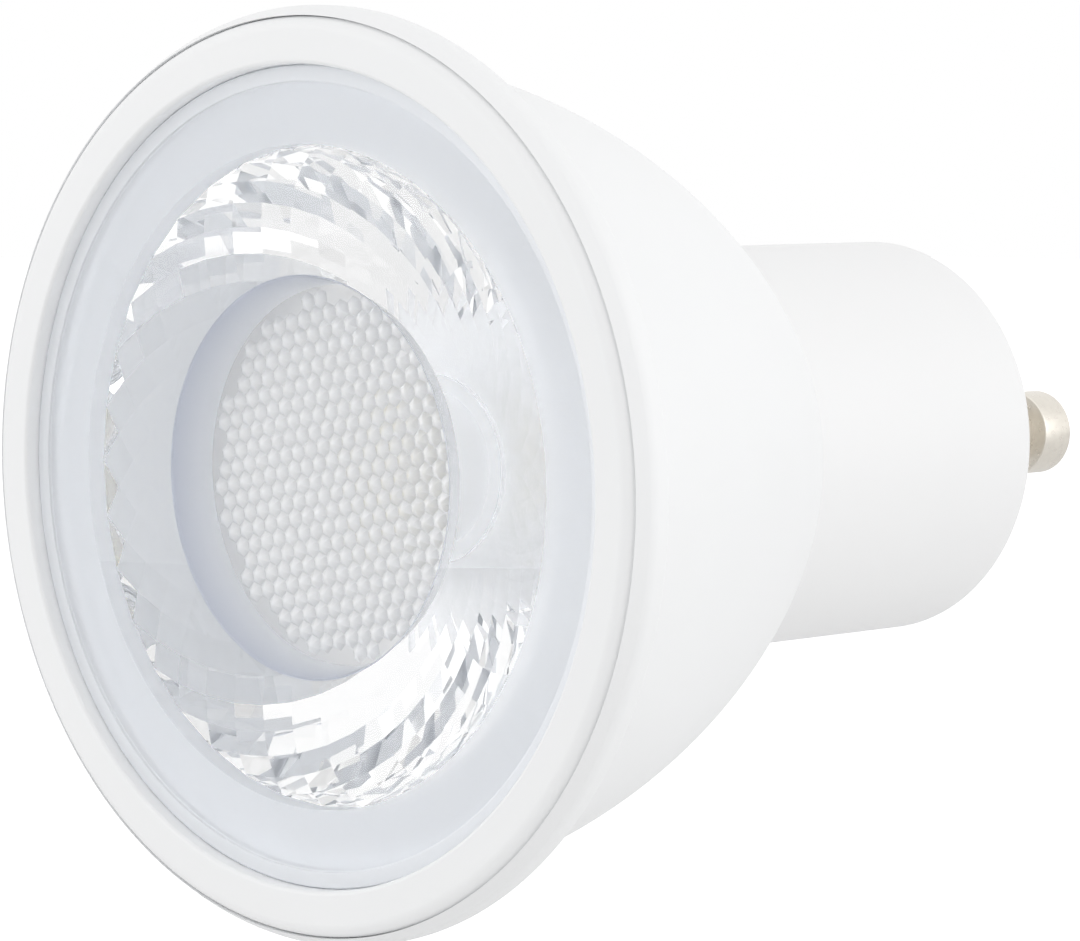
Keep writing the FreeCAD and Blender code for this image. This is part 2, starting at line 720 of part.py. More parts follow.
def main():
    """Write one file for each piece."""
    os.makedirs("parts", exist_ok=True)
    pieces = {
        "front_ring": front_ring(),
        "housing_bowl": housing_bowl(),
        "base_neck": base_neck(),
        "contact_pin_left": contact_pin(-1),
        "contact_pin_right": contact_pin(1),
        "lens": lens(),
        "heat_sink_cup": heat_sink_cup(),
        "thermal_pad": thermal_pad(),
        "led_board": led_board(),
        "led_carrier": led_carrier(),
        "led_phosphor": led_phosphor(),
        "board_screws": board_screws(),
        "led_leads": led_leads(),
        "mains_wires": mains_wires(),
        "driver_board": driver_board(),
        "filter_capacitor": filter_capacitor(),
        "fusible_resistor": fusible_resistor(),
        "choke_core": choke_core(),
        "choke_winding": choke_winding(),
        "film_capacitor": film_capacitor(),
        "controller_chip": controller_chip(),
        "bridge_rectifier": bridge_rectifier(),
    }
    for name, shape in pieces.items():
        shape.exportStep("parts/" + name + ".step")
        print(name, len(shape.Solids), "solids", round(shape.Volume, 2), "mm3", shape.isValid())


main()
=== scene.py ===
"""Looks of a reflector lamp with a twist-and-lock base: shells, pins, faceted lens, finishes and stage."""

import math

import bmesh
import bpy
from bpy.props import FloatProperty, FloatVectorProperty, IntProperty, PointerProperty
from mathutils import Matrix, Vector


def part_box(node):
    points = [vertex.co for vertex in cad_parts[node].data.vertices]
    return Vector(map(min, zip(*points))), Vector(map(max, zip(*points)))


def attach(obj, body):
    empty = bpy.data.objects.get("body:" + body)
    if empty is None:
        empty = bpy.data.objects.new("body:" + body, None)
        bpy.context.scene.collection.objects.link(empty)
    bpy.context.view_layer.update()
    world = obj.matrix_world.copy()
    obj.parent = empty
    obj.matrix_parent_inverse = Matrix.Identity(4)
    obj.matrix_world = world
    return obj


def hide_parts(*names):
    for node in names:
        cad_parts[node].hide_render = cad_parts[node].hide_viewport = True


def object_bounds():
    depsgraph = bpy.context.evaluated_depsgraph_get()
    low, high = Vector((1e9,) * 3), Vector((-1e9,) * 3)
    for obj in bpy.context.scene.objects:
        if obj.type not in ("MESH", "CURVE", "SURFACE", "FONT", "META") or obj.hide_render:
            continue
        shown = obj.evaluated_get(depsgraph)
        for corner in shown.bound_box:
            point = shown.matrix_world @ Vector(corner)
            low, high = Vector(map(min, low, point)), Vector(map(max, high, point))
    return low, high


bl_info = {
    "name": "Spotlight Lamp",
    "version": (1, 0, 0),
    "blender": (4, 5, 0),
    "location": "3D View > Sidebar > Lamp",
    "description": "Builds the shells, pins, faceted lens and finishes of a spotlight lamp",
    "category": "Object",
}

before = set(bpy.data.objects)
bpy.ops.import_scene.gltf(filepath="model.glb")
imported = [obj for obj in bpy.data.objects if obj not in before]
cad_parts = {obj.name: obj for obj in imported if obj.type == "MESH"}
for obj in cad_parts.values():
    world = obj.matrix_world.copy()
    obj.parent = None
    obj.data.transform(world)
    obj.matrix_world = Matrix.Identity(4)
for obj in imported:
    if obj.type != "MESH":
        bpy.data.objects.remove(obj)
CAD_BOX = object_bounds()

MM = 0.001
AXIS = Vector((0, 1, 0))
ORIGIN = Vector()
WELD_DISTANCE = 1e-7
LOOP_DISTANCE = 0.01 * MM
SHELL_CREASE = math.radians(35)
LENS_CREASE = math.radians(24)
ACRYLIC_IOR = 1.49

# Attribute of the lens's points: how far they stand over the floor of the well
RISE = "rise"

# Finishes of the lens, by the number of their material
CLEAR, FLANGE, BAND, WELL, POCKET, BEADS = range(6)

# Rings of a bead from its edge to its tip: width in pitches and rise in heights, then the tip's rise
BEAD_RINGS = ((0.16, 0.5), (0.2, 0.36))
BEAD_TIP = 0.14

# Places that the frame gives: y of the rim's front plane, and depths and radii of the pieces
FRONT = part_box("front_ring")[0].y


def front_of(node):
    """Depth of a node's front end behind the rim's front plane."""
    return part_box(node)[0].y - FRONT


def back_of(node):
    """Depth of a node's rear end behind the rim's front plane."""
    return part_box(node)[1].y - FRONT


def radius_of(node):
    """Outer radius of a node that is turned about the lamp's axis."""
    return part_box(node)[1].z


def length(name, description, millimetres):
    """Property for a length that is written in millimetres."""
    return FloatProperty(name=name, description=description, default=millimetres * MM,
                         unit="LENGTH", subtype="DISTANCE")


def share(name, description, value):
    """Property for a share between nothing and all."""
    return FloatProperty(name=name, description=description, default=value, min=0, max=1, subtype="FACTOR")


def colour(name, description, value):
    """Property for a linear colour."""
    return FloatVectorProperty(name=name, description=description, default=value, size=3,
                               min=0, max=1, subtype="COLOR")


class LampShells(bpy.types.PropertyGroup):
    """Sizes of the ring, the bowl, the neck and the pins."""

    steps_round: IntProperty(name="Steps round", description="Steps of a turned piece", default=240, min=24)
    corner_steps: IntProperty(name="Corner steps", description="Steps of a rounded corner", default=8, min=2)
    fit: length("Fit", "Gap between pieces that fit together", 0.06)
    face_width: length("Face width", "Width of the ring's flat face", 3.1)
    ring_thickness: length("Ring thickness", "Thickness of the ring at its outer edge", 1.0)
    ring_edge: length("Ring edge", "Rounding of the ring's outer edge", 0.75)
    ring_inner_edge: length("Ring inner edge", "Rounding of the ring's inner edge", 0.25)
    ledge_cover: length("Ledge cover", "Thickness of the ring over the lens's ledge", 1.1)
    ledge_width: length("Ledge width", "How far the lens's ledge reaches under the ring", 0.8)
    seam_gap: length("Seam gap", "Gap between the ring and the bowl's rim", 0.05)
    rim_slope: length("Rim slope", "Length of the sloped front of the bowl's rim", 0.85)
    rim_edge: length("Rim edge", "Rounding behind the rim's slope", 0.3)
    lip_wall: length("Lip wall", "Wall of the bowl's lip", 1.6)
    lip_back: length("Lip back", "Depth of the lip's rear", 2.3)
    lip_edge: length("Lip edge", "Rounding of the lip's rear edge", 0.25)
    lip_step: length("Lip step", "How far the lip stands out from the bowl", 2.3)
    lip_fillet: length("Lip fillet", "Rounding between the lip and the bowl", 0.6)
    bowl_arc: length("Bowl arc", "Radius of the bowl's outline", 42.8)
    bowl_wall: length("Bowl wall", "Wall of the bowl", 1.5)
    bowl_steps: IntProperty(name="Bowl steps", description="Steps along the bowl's outline",
                            default=48, min=8)
    neck_radius: length("Neck radius", "Radius of the base neck", 11.7)
    neck_wall: length("Neck wall", "Wall of the base neck", 1.5)
    neck_bevel: length("Neck bevel", "Bevel round the neck's end", 2.6)
    neck_edge: length("Neck edge", "Rounding of the neck's edges", 0.3)
    end_wall: length("End wall", "Wall at the neck's end", 2.0)
    inner_bevel: length("Inner bevel", "Bevel inside the neck's end", 1.5)
    collar: length("Collar", "Thickness of the collar inside the bowl", 1.4)
    rail_depth: length("Rail depth", "How far the board's rails stand in", 1.2)
    rail_thickness: length("Rail thickness", "Thickness of the board's rails", 0.8)
    pin_steps: IntProperty(name="Pin steps", description="Steps of a turned pin", default=96, min=24)
    hole_steps: IntProperty(name="Hole steps", description="Steps of a pin's hole", default=48, min=24)
    pin_shank: length("Pin shank", "Radius of a pin's shank", 1.55)
    pin_head: length("Pin head", "Length of a pin's head", 2.6)
    pin_edge: length("Pin edge", "Rounding of a pin's end", 0.35)
    pin_rivet: length("Pin rivet", "Radius of a pin's riveted flange", 2.0)
    pin_rivet_thickness: length("Pin rivet thickness", "Thickness of a pin's riveted flange", 0.7)
    pin_tail: length("Pin tail", "Radius of a pin's solder tail", 1.2)


class LampLens(bpy.types.PropertyGroup):
    """Sizes of the lens."""

    edge_band: length("Edge band", "Width of the raised band round the lens", 0.85)
    face_step: length("Face step", "How far the flange lies behind the band", 0.2)
    flange_width: length("Flange width", "Width of the flange between band and facets", 3.3)
    edge: length("Edge", "Rounding of the lens's edges", 0.1)
    skirt_radius: length("Skirt radius", "Radius of the skirt behind the flange", 20.88)
    skirt_length: length("Skirt length", "Length of the skirt behind the ring", 1.45)
    tail_radius: length("Tail radius", "Radius of the lens's rear end", 5.2)
    facets_round: IntProperty(name="Facets round", description="Facets in one row", default=36, min=6)
    facet_rows: IntProperty(name="Facet rows", description="Rows of facets", default=12, min=2)
    well_radius: length("Well radius", "Radius of the well's floor", 10.2)
    well_taper: length("Well taper", "How much wider the well is at its mouth", 0.5)
    well_depth: length("Well depth", "Depth of the well", 2.5)
    bead_pitch: length("Bead pitch", "Distance between neighbouring beads", 1.0)
    bead_height: length("Bead height", "Height of a bead over the well's floor", 0.28)
    bead_turn: FloatProperty(name="Bead turn", description="Turn of the honeycomb about the axis",
                             default=math.radians(12), subtype="ANGLE")
    pocket_radius: length("Pocket radius", "Radius of the hollow over the light source", 4.3)
    pocket_length: length("Pocket length", "Length of the hollow over the light source", 5.2)
    pocket_dome: length("Pocket dome", "How far the hollow's end bulges", 1.6)
    steps_round: IntProperty(name="Steps round", description="Steps of the lens's turned faces",
                             default=216, min=24)
    edge_steps: IntProperty(name="Edge steps", description="Steps of a rounded edge", default=4, min=1)
    dome_steps: IntProperty(name="Dome steps", description="Steps of the hollow's end", default=16, min=4)


class LampFinishes(bpy.types.PropertyGroup):
    """Colours of the pieces that show."""

    shell: colour("Shell", "White moulding of the ring and the bowl", (0.88, 0.885, 0.89))
    neck: colour("Neck", "White moulding of the neck", (0.87, 0.87, 0.872))
    pin: colour("Pin", "Nickel-plated brass", (0.78, 0.74, 0.67))
    acrylic: colour("Acrylic", "Tint of the clear lens", (0.995, 0.997, 1.0))
    frost: colour("Frost", "Tint of the frosted flange", (0.9, 0.92, 0.95))
    frost_roughness: share("Frost roughness", "Roughness of the frosted faces", 0.45)
    flange_clearness: share("Flange clearness", "How clear the frosted flange is", 0.6)
    band_clearness: share("Band clearness", "How clear the frosted band round the lens is", 0.25)
    pocket_clearness: share("Pocket clearness", "How clear the hollow's frosted wall is", 0.1)
    bead_clearness: share("Bead clearness", "How clear the satin beads are", 0.38)
    ground: colour("Ground", "Tint of the ground wall of the well", (0.58, 0.61, 0.72))
    # Painted shade: a darker colour for the valleys between the beads, where shade falls.
    valley_painted_shade: colour("Valley", "Tint of the valleys between the beads", (0.8, 0.8, 0.805))
    phosphor: colour("Phosphor", "Yellow layer of the light source", (0.96, 0.74, 0.2))
    cup: colour("Cup", "White lacquer of the heat sink cup", (0.94, 0.95, 0.965))


class LampStage(bpy.types.PropertyGroup):
    """Camera, lights and floor."""

    azimuth: FloatProperty(name="Azimuth", description="Camera's turn round the lamp",
                           default=math.radians(43.9), subtype="ANGLE")
    elevation: FloatProperty(name="Elevation", description="Camera's height over the lamp",
                             default=math.radians(4.3), subtype="ANGLE")
    distance: length("Distance", "From the camera to its target", 256.0)
    target_depth: length("Target depth", "Depth of the target on the lamp's axis", 25.0)
    target_right: length("Target right", "How far the target lies to the right of the axis", -4.19)
    target_up: length("Target up", "How far the target lies above the axis", -0.89)
    focal: FloatProperty(name="Focal length", description="Focal length of the camera",
                         default=150.0, unit="CAMERA")
    floor_drop: length("Floor drop", "How far the floor lies under the rim", 35.0)
    floor_side: length("Floor side", "Side of the floor", 4000.0)
    sky: FloatProperty(name="Sky", description="Strength of the light from all round", default=0.79, min=0)
    top_light: FloatProperty(name="Top light", description="Power of the soft light overhead",
                             default=0.25, unit="POWER")
    left_light: FloatProperty(name="Left light", description="Power of the soft light at the front left",
                              default=0.72, unit="POWER")
    right_light: FloatProperty(name="Right light", description="Power of the soft light at the right",
                               default=0.9, unit="POWER")


# Mesh helpers

def at(radius, depth):
    """Point of a turned outline."""
    return Vector((radius, FRONT + depth, 0))


def arc(centre, start, end, steps):
    """Points of the arc about a centre from start to end, both included."""
    first = start - centre
    last = end - centre
    axis = first.cross(last).normalized()
    swing = first.angle(last)
    return [centre + Matrix.Rotation(swing * step / steps, 3, axis) @ first for step in range(steps + 1)]


def wire(mesh, points, closed, rounds, steps):
    """Chain of edges through points; rounds gives the rounding of some corners by their number."""
    corners = [mesh.verts.new(point) for point in points]
    for first, second in zip(corners, corners[1:]):
        mesh.edges.new((first, second))
    if closed:
        mesh.edges.new((corners[-1], corners[0]))
    for number, size in rounds.items():
        bmesh.ops.bevel(mesh, geom=[corners[number]], offset=size, affect="VERTICES",
                        segments=steps, profile=0.5, material=-1)


def spin_round(mesh, steps):
    """Turns everything in a mesh once round the lamp's axis."""
    bmesh.ops.spin(mesh, geom=mesh.verts[:] + mesh.edges[:], cent=ORIGIN, axis=AXIS, dvec=ORIGIN,
                   angle=math.tau, steps=steps, use_merge=True)
    bmesh.ops.remove_doubles(mesh, verts=mesh.verts[:], dist=WELD_DISTANCE)


def close_up(mesh):
    """Welds a mesh and points its faces outwards."""
    bmesh.ops.remove_doubles(mesh, verts=mesh.verts[:], dist=WELD_DISTANCE)
    bmesh.ops.recalc_face_normals(mesh, faces=mesh.faces[:])
    for face in mesh.faces:
        face.smooth = True
    open_edges = sum(1 for edge in mesh.edges if not edge.is_manifold)
    if open_edges:
        raise RuntimeError(f"mesh has {open_edges} open edges")


def take_in(mesh, other):
    """Moves the shape of another mesh into this one."""
    carrier = bpy.data.meshes.new("carrier")
    other.to_mesh(carrier)
    other.free()
    mesh.from_mesh(carrier)
    bpy.data.meshes.remove(carrier)


def open_loop(mesh, radius, depth):
    """Open edges of a mesh that lie on one circle about the axis."""
    found = []
    for edge in mesh.edges:
        if edge.is_boundary:
            ends = [math.hypot(v.co.x, v.co.z) - radius for v in edge.verts]
            drops = [v.co.y - FRONT - depth for v in edge.verts]
            if max(map(abs, ends + drops)) < LOOP_DISTANCE:
                found.append(edge)
    return found


def piece(mesh, name, node, materials, crease):
    """Object from a mesh that stands for a node of the frame, with edges sharp from the crease's angle."""
    for edge in mesh.edges:
        flat = any(not face.smooth for face in edge.link_faces)
        edge.smooth = not flat and edge.calc_face_angle(0) < crease
    data = bpy.data.meshes.new(name)
    mesh.to_mesh(data)
    mesh.free()
    for material in materials:
        data.materials.append(material)
    made = bpy.data.objects.new(name, data)
    bpy.context.scene.collection.objects.link(made)
    level = made.modifiers.new("Even shading", "WEIGHTED_NORMAL")
    level.keep_sharp = True
    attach(made, "root")
    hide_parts(node)
    return made


def turned_piece(name, node, material, points, rounds):
    """Object turned from one closed outline."""
    shells = bpy.context.scene.lamp_shells
    mesh = bmesh.new()
    wire(mesh, points, True, rounds, shells.corner_steps)
    spin_round(mesh, shells.steps_round)
    close_up(mesh)
    return piece(mesh, name, node, [material], SHELL_CREASE)


# Finishes

def surface(name):
    """New material with its node tree and its main shader."""
    material = bpy.data.materials.new(name)
    material.use_nodes = True
    tree = material.node_tree
    return material, tree, tree.nodes["Principled BSDF"]


def add(tree, kind, **settings):
    """New node with settings for its own options and, by socket name, for its inputs."""
    node = tree.nodes.new(kind)
    for key, value in settings.items():
        if hasattr(node, key):
            setattr(node, key, value)
        else:
            node.inputs[key.replace("_", " ").title()].default_value = value
    return node


def grain(tree, scale, detail):
    """Noise fixed to the piece, with a scale in grains a metre."""
    place = add(tree, "ShaderNodeTexCoord")
    noise = add(tree, "ShaderNodeTexNoise", scale=scale, detail=detail)
    tree.links.new(place.outputs["Object"], noise.inputs["Vector"])
    return noise.outputs["Fac"]


def spread(tree, value, low, high):
    """Value from nought to one, spread between two limits."""
    node = add(tree, "ShaderNodeMapRange", to_min=low, to_max=high)
    tree.links.new(value, node.inputs["Value"])
    return node.outputs["Result"]


def blend_colours(tree, value, first, second):
    """Colour between two, by a value from nought to one."""
    ramp = add(tree, "ShaderNodeValToRGB")
    ramp.color_ramp.elements[0].color = (*first, 1)
    ramp.color_ramp.elements[1].color = (*second, 1)
    tree.links.new(value, ramp.inputs["Fac"])
    return ramp.outputs["Color"]


def relief(tree, height, distance, strength):
    """Bumped normal from a height."""
    bump = add(tree, "ShaderNodeBump", strength=strength, distance=distance)
    tree.links.new(height, bump.inputs["Height"])
    return bump.outputs["Normal"]


def shade(value, factor):
    """Colour made darker or lighter."""
    return tuple(min(1.0, part * factor) for part in value)


def moulding(name, tone, roughness):
    """Satin moulded plastic with a faint mottle and a fine skin."""
    material, tree, shader = surface(name)
    cloud = grain(tree, 120, 1)
    skin = grain(tree, 5000, 0)
    mottle = blend_colours(tree, cloud, shade(tone, 0.985), shade(tone, 1.01))
    tree.links.new(mottle, shader.inputs["Base Color"])
    tree.links.new(spread(tree, cloud, roughness - 0.05, roughness + 0.05), shader.inputs["Roughness"])
    tree.links.new(relief(tree, skin, 0.01 * MM, 0.25), shader.inputs["Normal"])
    return material


def coated(name, tone, roughness, metal=0.0, scale=900, contrast=0.12, bump=0.3):
    """Finish with grains of lighter and darker tone and a matching relief."""
    material, tree, shader = surface(name)
    spots = grain(tree, scale, 1)
    tree.links.new(blend_colours(tree, spots, shade(tone, 1 - contrast), shade(tone, 1 + contrast)),
                   shader.inputs["Base Color"])
    tree.links.new(spread(tree, spots, roughness - 0.08, roughness + 0.08), shader.inputs["Roughness"])
    tree.links.new(relief(tree, spots, 0.02 * MM, bump), shader.inputs["Normal"])
    shader.inputs["Metallic"].default_value = metal
    return material


def clear_acrylic(tone):
    """Polished clear moulding that is a little less bright in places."""
    material, tree, shader = surface("clear_acrylic")
    waves = grain(tree, 300, 0)
    shader.inputs["Base Color"].default_value = (*tone, 1)
    shader.inputs["Transmission Weight"].default_value = 1.0
    shader.inputs["IOR"].default_value = ACRYLIC_IOR
    tree.links.new(spread(tree, waves, 0.0, 0.02), shader.inputs["Roughness"])
    return material


def frosted_acrylic(name, tone, roughness, clearness):
    """Etched face of the clear moulding."""
    material, tree, shader = surface(name)
    etch = grain(tree, 8000, 0)
    shader.inputs["Base Color"].default_value = (*tone, 1)
    shader.inputs["Transmission Weight"].default_value = clearness
    shader.inputs["IOR"].default_value = ACRYLIC_IOR
    tree.links.new(spread(tree, etch, roughness - 0.06, roughness + 0.06), shader.inputs["Roughness"])
    tree.links.new(relief(tree, etch, 0.01 * MM, 0.3), shader.inputs["Normal"])
    return material


def bead_acrylic(valley_painted_shade, top, clearness):
    """Satin beads of the clear moulding, with painted shade that darkens the valleys between them."""
    material, tree, shader = surface("bead_acrylic")
    rise = add(tree, "ShaderNodeAttribute", attribute_name=RISE)
    # Painted shade: the beads' colour darkens from their tips down to the valleys, following the rise.
    tree.links.new(blend_colours(tree, rise.outputs["Fac"], valley_painted_shade, top), shader.inputs["Base Color"])
    shader.inputs["Transmission Weight"].default_value = clearness
    shader.inputs["IOR"].default_value = ACRYLIC_IOR
    skin = grain(tree, 3000, 0)
    tree.links.new(spread(tree, skin, 0.08, 0.16), shader.inputs["Roughness"])
    return material


def ground_acrylic(dark, pale, roughness):
    """Ground wall of the clear moulding, paler towards the well's floor."""
    material, tree, shader = surface("ground_acrylic")
    rise = add(tree, "ShaderNodeAttribute", attribute_name=RISE)
    tree.links.new(blend_colours(tree, rise.outputs["Fac"], pale, dark), shader.inputs["Base Color"])
    shader.inputs["Transmission Weight"].default_value = 1.0
    shader.inputs["IOR"].default_value = ACRYLIC_IOR
    etch = grain(tree, 8000, 0)
    tree.links.new(spread(tree, etch, roughness - 0.06, roughness + 0.06), shader.inputs["Roughness"])
    return material


def dress(node, material):
    """Gives a node of the frame its finish."""
    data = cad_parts[node].data
    data.materials.clear()
    data.materials.append(material)


# Pieces

class LAMP_OT_front_ring(bpy.types.Operator):
    """Build the white ring round the lens"""

    bl_idname = "lamp.front_ring"
    bl_label = "Front Ring"

    def execute(self, context):
        shells = context.scene.lamp_shells
        outer = radius_of("front_ring")
        rim = radius_of("housing_bowl")
        back = back_of("front_ring")
        opening = rim - shells.face_width
        rebate = opening + shells.ledge_width
        spigot = rim - shells.lip_wall - shells.fit
        outline = [
            at(opening, shells.ledge_cover),
            at(opening, 0),
            at(outer, 0),
            at(outer, shells.ring_thickness),
            at(spigot, shells.ring_thickness),
            at(spigot, back),
            at(rebate, back),
            at(rebate, shells.ledge_cover),
        ]
        rounds = {1: shells.ring_inner_edge, 2: shells.ring_edge}
        finish = moulding("ring_white", context.scene.lamp_finishes.shell, 0.42)
        turned_piece("ring_cover", "front_ring", finish, outline, rounds)
        return {"FINISHED"}


def bowl_centre(first, last, radius):
    """Centre of the bowl's arc, from its two ends."""
    chord = last - first
    rise = math.sqrt(radius ** 2 - (chord.length / 2) ** 2)
    inward = Vector((-chord.y, chord.x, 0)).normalized()
    return (first + last) / 2 + inward * rise


class LAMP_OT_housing(bpy.types.Operator):
    """Build the white bowl with its lip"""

    bl_idname = "lamp.housing"
    bl_label = "Housing Bowl"

    def execute(self, context):
        shells = context.scene.lamp_shells
        rim = radius_of("housing_bowl")
        floor = back_of("front_ring")
        mouth = rim - shells.lip_wall
        rim_front = front_of("housing_bowl")
        lip_front = shells.ring_thickness + shells.seam_gap
        ring_wall = radius_of("front_ring") + shells.seam_gap
        start = shells.lip_back + shells.lip_fillet
        first = at(rim - shells.lip_step, start)
        last = at(shells.neck_radius + shells.fit, back_of("housing_bowl"))
        centre = bowl_centre(first, last, shells.bowl_arc)
        inner = shells.bowl_arc - shells.bowl_wall
        recess = radius_of("base_neck") + shells.fit
        seat = front_of("base_neck") + shells.collar

        def inner_at_radius(radius):
            return Vector((radius, centre.y + math.sqrt(inner ** 2 - (radius - centre.x) ** 2), 0))

        def inner_at_depth(depth):
            y = FRONT + depth
            return Vector((centre.x + math.sqrt(inner ** 2 - (y - centre.y) ** 2), y, 0))

        outside = arc(centre, first, last, shells.bowl_steps)
        inside = arc(centre, inner_at_radius(recess), inner_at_depth(floor), shells.bowl_steps)
        outline = [
            at(mouth, lip_front),
            at(ring_wall, lip_front),
            at(ring_wall, rim_front),
            at(rim, rim_front + shells.rim_slope),
            at(rim, shells.lip_back),
            at(rim - shells.lip_step, shells.lip_back),
            *outside,
            at(last.x, seat),
            at(recess, seat),
            *inside,
            at(mouth, floor),
        ]
        rounds = {3: shells.rim_edge, 4: shells.lip_edge, 5: 0.95 * shells.lip_fillet}
        finish = moulding("bowl_white", context.scene.lamp_finishes.shell, 0.45)
        turned_piece("bowl_shell", "housing_bowl", finish, outline, rounds)
        return {"FINISHED"}


def pin_places():
    """Middles of the two pins, in the lamp's cross plane."""
    for node in ("contact_pin_left", "contact_pin_right"):
        low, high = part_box(node)
        yield node, (low + high) / 2


class LAMP_OT_neck(bpy.types.Operator):
    """Build the base neck with its collar, bevelled end, pin holes and rails"""

    bl_idname = "lamp.neck"
    bl_label = "Base Neck"

    def execute(self, context):
        shells = context.scene.lamp_shells
        end = back_of("base_neck")
        front = front_of("base_neck")
        seat = front + shells.collar
        bore = shells.neck_radius - shells.neck_wall
        inner_end = end - shells.end_wall
        inner_face = bore - shells.inner_bevel
        outer_face = shells.neck_radius - shells.neck_bevel
        outline = [
            at(inner_face, inner_end),
            at(bore, inner_end - shells.inner_bevel),
            at(bore, front),
            at(radius_of("base_neck"), front),
            at(radius_of("base_neck"), seat),
            at(shells.neck_radius, seat),
            at(shells.neck_radius, end - shells.neck_bevel),
            at(outer_face, end),
            at(outer_face - shells.neck_edge, end),
        ]
        mesh = bmesh.new()
        rounds = {6: shells.neck_edge, 7: shells.neck_edge / 2}
        wire(mesh, outline, False, rounds, shells.corner_steps)
        spin_round(mesh, shells.steps_round)
        faces = [open_loop(mesh, inner_face, inner_end), open_loop(mesh, outer_face - shells.neck_edge, end)]
        upright = Matrix.Rotation(math.pi / 2, 4, "X")
        for _, middle in pin_places():
            hole = shells.pin_shank + shells.fit
            for number, depth in enumerate((inner_end, end)):
                place = Matrix.Translation((middle.x, FRONT + depth, middle.z)) @ upright
                made = bmesh.ops.create_circle(mesh, cap_ends=False, radius=hole,
                                               segments=shells.hole_steps, matrix=place)
                faces[number] += list({edge for vert in made["verts"] for edge in vert.link_edges})
        for edges in faces:
            bmesh.ops.triangle_fill(mesh, use_beauty=True, edges=edges, normal=AXIS)
        for _, middle in pin_places():
            loops = [edge for edge in mesh.edges
                     if edge.is_boundary and (edge.verts[0].co.x > 0) == (middle.x > 0)]
            bmesh.ops.bridge_loops(mesh, edges=loops)
        close_up(mesh)
        self.add_rails(mesh, shells, front, bore)
        finish = moulding("neck_white", context.scene.lamp_finishes.neck, 0.45)
        piece(mesh, "neck_shell", "base_neck", [finish], SHELL_CREASE)
        return {"FINISHED"}

    def add_rails(self, mesh, shells, front, bore):
        """Adds the four rails that hold the driver board."""
        board_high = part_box("driver_board")[1]
        slot = board_high.z + shells.fit
        width = shells.rail_depth + shells.neck_wall / 2
        middle_x = bore - shells.rail_depth + width / 2
        near = FRONT + front
        size = Matrix.Diagonal((width, board_high.y - near, shells.rail_thickness, 1))
        for side in (-1, 1):
            for level in (-1, 1):
                middle = Vector((side * middle_x, (near + board_high.y) / 2,
                                 level * (slot + shells.rail_thickness / 2)))
                bmesh.ops.create_cube(mesh, size=1, matrix=Matrix.Translation(middle) @ size)


class LAMP_OT_pins(bpy.types.Operator):
    """Build the two headed contact pins"""

    bl_idname = "lamp.pins"
    bl_label = "Contact Pins"

    def execute(self, context):
        shells = context.scene.lamp_shells
        finish = self.nickel(context.scene.lamp_finishes.pin)
        rivet_face = back_of("base_neck") - shells.end_wall
        rivet_front = rivet_face - shells.pin_rivet_thickness
        for node, middle in pin_places():
            low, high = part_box(node)
            head = (high.x - low.x) / 2
            tip = back_of(node)
            outline = [
                at(0, front_of(node)),
                at(shells.pin_tail, front_of(node)),
                at(shells.pin_tail, rivet_front),
                at(shells.pin_rivet, rivet_front),
                at(shells.pin_rivet, rivet_face),
                at(shells.pin_shank, rivet_face),
                at(shells.pin_shank, tip - shells.pin_head),
                at(head, tip - shells.pin_head),
                at(head, tip),
                at(0, tip),
            ]
            mesh = bmesh.new()
            wire(mesh, outline, False, {7: shells.pin_edge / 4, 8: shells.pin_edge}, shells.corner_steps)
            spin_round(mesh, shells.pin_steps)
            bmesh.ops.translate(mesh, verts=mesh.verts[:], vec=(middle.x, 0, middle.z))
            close_up(mesh)
            side = "left" if middle.x < 0 else "right"
            piece(mesh, "pin_" + side, node, [finish], SHELL_CREASE)
        return {"FINISHED"}

    def nickel(self, tone):
        """Plated metal with fine turning marks."""
        return coated("nickel_plate", tone, 0.3, metal=1.0, scale=2500, contrast=0.06, bump=0.15)


